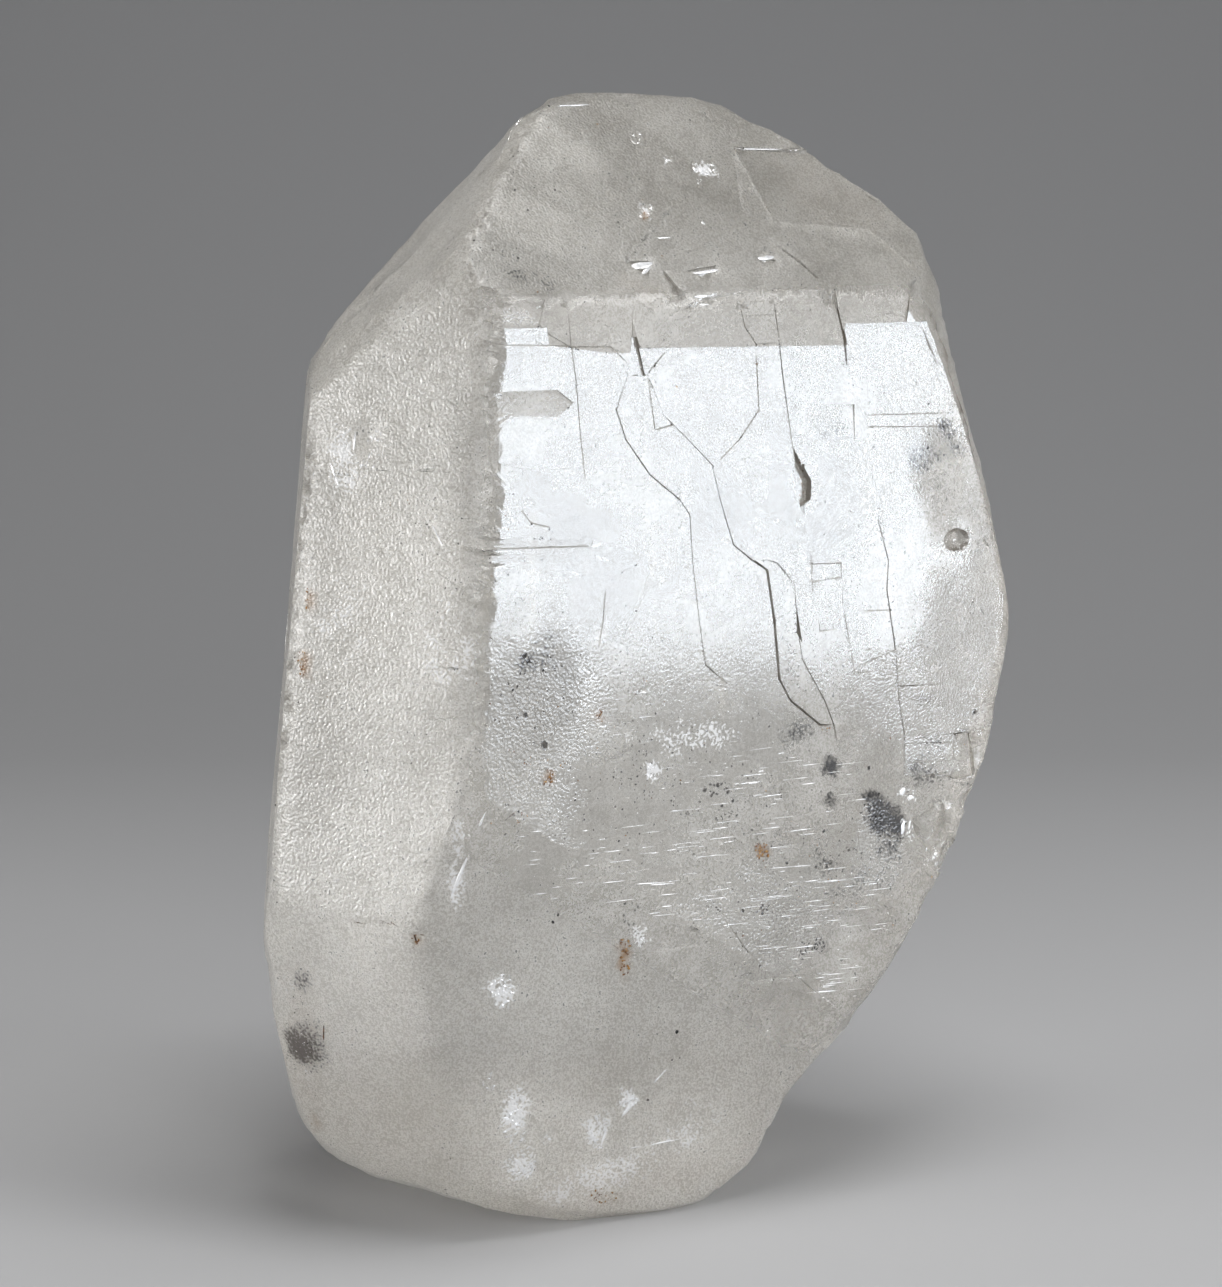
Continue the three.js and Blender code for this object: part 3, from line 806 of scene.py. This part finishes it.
colour = patchy.smooth(0.4, 0.65).mix((0.018, 0.017, 0.016, 1), (0.1, 0.09, 0.08, 1))
sockets = {"Base Color": colour, "Roughness": patchy.smooth(0.3, 0.7, 0.25, 0.6)}
finish_material(start, start.node("ShaderNodeBsdfPrincipled", None, sockets))
finish_crumbs("black_grains", grains, material)


# Rust crumbs: brown and golden crumbs of iron rust, washed into cracks and hollows of the skin.
# They cling in small clots, and line the left edge of the crystal in thin rims.
rust_patches = (
    (762, 852, 8, 9, 26, 0.26), (625, 946, 5, 8, 14, 0.24), (625, 962, 6, 14, 26, 0.26),
    (548, 778, 6, 9, 14, 0.2), (530, 762, 8, 5, 6, 0.14), (562, 766, 4, 5, 5, 0.14),
    (645, 216, 4, 4, 7, 0.18), (597, 124, 2, 2, 2, 0.16), (415, 942, 5, 7, 10, 0.2),
    (308, 600, 3, 12, 14, 0.2), (302, 662, 4, 14, 20, 0.22), (606, 1196, 16, 8, 26, 0.2),
    (520, 818, 10, 8, 8, 0.14), (310, 1125, 4, 14, 8, 0.16), (800, 480, 7, 18, 10, 0.16),
    (600, 716, 3, 8, 8, 0.16), (828, 728, 6, 5, 6, 0.12), (292, 940, 3, 14, 6, 0.12),
    (640, 680, 8, 4, 4, 0.12),
)
grains = bmesh.new()
for place, normal, size in sprinkled(rust_patches):
    crumb(grains, place, normal, any_way(normal), size, size * draw.uniform(0.5, 0.9), size * 0.6)
strewn = 160
for number in range(strewn):
    patch = draw.choice(mesh.polygons)
    size = 0.06 + 0.1 * draw.random() ** 2
    strew(grains, patch, size, 0.7, 0.5)
material, start = new_material("iron rust")
spot = start.node("ShaderNodeTexCoord", output="Object").scaled(1 / mm)
patchy = start.noise(spot, 2.4, 1)
colour = patchy.smooth(0.38, 0.62).mix((0.16, 0.065, 0.018, 1), (0.42, 0.24, 0.075, 1))
bump = start.node("ShaderNodeBump", None, {"Distance": 0.05 * mm, "Height": start.noise(spot, 9.0, 1)})
sockets = {"Base Color": colour, "Roughness": 0.75, "Normal": bump}
finish_material(start, start.node("ShaderNodeBsdfPrincipled", None, sockets))
finish_crumbs("rust_crumbs", grains, material)


# Brown needles: thin rods of a brown mineral caught in the skin, a few millimetres long and a hair thick.
# Most lie together low on the left, and one follows a step of the front face.
needles = (
    ((368, 915), (394, 926)), ((380, 921), (384, 925)), ((407, 919), (424, 934)),
    ((412, 930), (418, 946)), ((384, 917), (402, 930)), ((418, 934), (426, 936)),
    ((598, 707), (603, 716)), ((597, 722), (602, 710)), ((342, 921), (368, 924)),
    ((796, 590), (800, 634)), ((505, 820), (516, 812)), ((324, 1020), (323, 1050)),
)
grains = bmesh.new()
for start, end in needles:
    place, normal, way, half = line_way(start, end)
    crumb(grains, place, normal, way, half, 0.09, 0.08)
material, start = new_material("brown needle")
spot = start.node("ShaderNodeTexCoord", output="Object").scaled(1 / mm)
colour = start.noise(spot, 2.0, 1).smooth(0.4, 0.6).mix((0.05, 0.025, 0.012, 1), (0.2, 0.09, 0.03, 1))
sockets = {"Base Color": colour, "Roughness": 0.4}
finish_material(start, start.node("ShaderNodeBsdfPrincipled", None, sockets))
finish_crumbs("brown_needles", grains, material)


# White chips: bruises and small healed cracks just under the skin, where the light turns back.
# They are quartz that shattered into thin bright flakes, which lie in clusters.
chip_patches = (
    (502, 990, 13, 18, 46, 0.36), (489, 1083, 6, 13, 14, 0.3), (515, 1120, 12, 26, 50, 0.36),
    (520, 1168, 18, 12, 40, 0.36), (545, 1140, 6, 6, 8, 0.3), (628, 1100, 9, 9, 34, 0.34),
    (598, 1132, 12, 18, 34, 0.3), (652, 771, 6, 10, 22, 0.34), (640, 938, 6, 9, 16, 0.28),
    (706, 169, 13, 6, 26, 0.36), (668, 158, 5, 4, 9, 0.3), (636, 138, 6, 6, 9, 0.26),
    (690, 152, 26, 22, 14, 0.14), (700, 182, 8, 4, 6, 0.24), (376, 446, 9, 16, 24, 0.36),
    (346, 440, 6, 18, 14, 0.26), (365, 470, 10, 10, 10, 0.3), (898, 490, 4, 4, 7, 0.24),
    (645, 210, 8, 8, 12, 0.3), (907, 796, 10, 8, 14, 0.36), (908, 828, 8, 14, 20, 0.34),
    (935, 850, 14, 22, 26, 0.3), (955, 520, 11, 5, 16, 0.18), (943, 545, 4, 10, 10, 0.18),
    (967, 545, 4, 10, 10, 0.18), (955, 551, 10, 4, 12, 0.18), (600, 1175, 60, 14, 40, 0.24),
    (660, 1140, 40, 6, 16, 0.22), (930, 385, 20, 30, 12, 0.18), (285, 985, 10, 14, 16, 0.26),
    (303, 1070, 10, 40, 26, 0.22), (495, 1010, 30, 30, 16, 0.16), (540, 1190, 60, 8, 20, 0.22),
    (480, 320, 12, 18, 10, 0.14), (310, 490, 8, 40, 16, 0.18),
)
shards = (
    ((629, 267), (654, 263), 0.36), ((641, 275), (652, 265), 0.2), ((688, 273), (721, 270), 0.18),
    ((696, 278), (708, 271), 0.2), ((757, 258), (774, 257), 0.26), ((766, 263), (761, 257), 0.2),
    ((692, 297), (716, 295), 0.12), ((712, 304), (697, 305), 0.1), ((654, 238), (674, 237), 0.08),
    ((700, 222), (706, 224), 0.2), ((898, 794), (907, 789), 0.4), ((906, 798), (916, 797), 0.3),
    ((904, 817), (902, 839), 0.3), ((911, 816), (908, 834), 0.18), ((620, 1118), (640, 1096), 0.24),
    ((638, 1100), (662, 1074), 0.18), ((655, 1082), (675, 1060), 0.12), ((586, 1116), (598, 1150), 0.16),
    ((610, 1115), (600, 1150), 0.16), ((600, 1153), (645, 1146), 0.1), ((645, 1146), (690, 1137), 0.08),
    ((430, 520), (450, 562), 0.08), ((356, 430), (352, 468), 0.12), ((322, 440), (340, 490), 0.1),
    ((556, 106), (600, 104), 0.07), ((733, 148), (788, 150), 0.06), 
    ((918, 310), (940, 372), 0.06), ((922, 338), (948, 380), 0.06), ((668, 268), (690, 303), 0.06),
    ((448, 905), (470, 850), 0.16), ((470, 850), (486, 808), 0.14), ((812, 986), (846, 1018), 0.06),
)
grains = bmesh.new()
for place, normal, size in sprinkled(chip_patches):
    crumb(grains, place, normal, any_way(normal), size, size * draw.uniform(0.2, 0.6), size * 0.3)
for start, end, width in shards:
    place, normal, way, half = line_way(start, end)
    crumb(grains, place, normal, way, half, width, 0.07, rounds=2)
strewn = 1100
for number in range(strewn):
    patch = draw.choice(mesh.polygons)
    size = 0.05 + 0.14 * draw.random() ** 3
    strew(grains, patch, size, 0.5, 0.4)
# This white material also serves the growth ridges below, where it is a painted highlight.
material, start = new_material("shattered quartz and painted ridge highlight")
spot = start.node("ShaderNodeTexCoord", output="Object").scaled(1 / mm)
colour = start.noise(spot, 3.0, 1).smooth(0.3, 0.6).mix((0.8, 0.8, 0.8, 1), (0.99, 0.99, 1.0, 1))
sockets = {"Base Color": colour, "Roughness": 0.35, "Metallic": 0.5, "IOR": 1.544}
finish_material(start, start.node("ShaderNodeBsdfPrincipled", None, sockets))
finish_crumbs("white_chips", grains, material)


# Growth ridges: straight hair-fine ridges of clear quartz that comb the low right of the front face.
# They grew with the crystal and lean a little up to the right. They take the white material of the chips,
# so their whiteness is a painted highlight on their crests.
ridge_patches = (
    (760, 800, 120, 70, 60, 5.0), (720, 870, 160, 55, 70, 5.5), (830, 930, 70, 60, 60, 4.5),
    (640, 720, 60, 30, 14, 3.0), (845, 990, 40, 16, 14, 3.5), (560, 860, 50, 40, 18, 3.0),
)
ridge_lean = -0.11
grains = bmesh.new()
for x, y, half_width, half_height, count, longest in ridge_patches:
    for number in range(count):
        angle = draw.uniform(0, 2 * math.pi)
        out = math.sqrt(draw.random())
        middle_x = x + half_width * out * math.cos(angle)
        middle_y = y + half_height * out * math.sin(angle)
        reach = longest * 5.8 * draw.uniform(0.15, 1.0) ** 1.5
        lean = ridge_lean + draw.gauss(0, 0.012)
        start = (middle_x - reach, middle_y - reach * lean)
        end = (middle_x + reach, middle_y + reach * lean)
        hits = (seen(*start), seen(middle_x, middle_y), seen(*end))
        if None in (hits[0][0], hits[1][0], hits[2][0]) or hits[0][1].dot(hits[2][1]) < 0.97:
            continue
        place, normal, way, half = line_way(start, end)
        if abs((hits[1][0] - place).dot(normal)) < 0.12 * mm:
            crumb(grains, hits[1][0], normal, way, half, draw.uniform(0.035, 0.075), 0.05)
# Their white material is a painted highlight on the ridge crests.
finish_crumbs("growth_ridges_painted_highlight", grains, material)
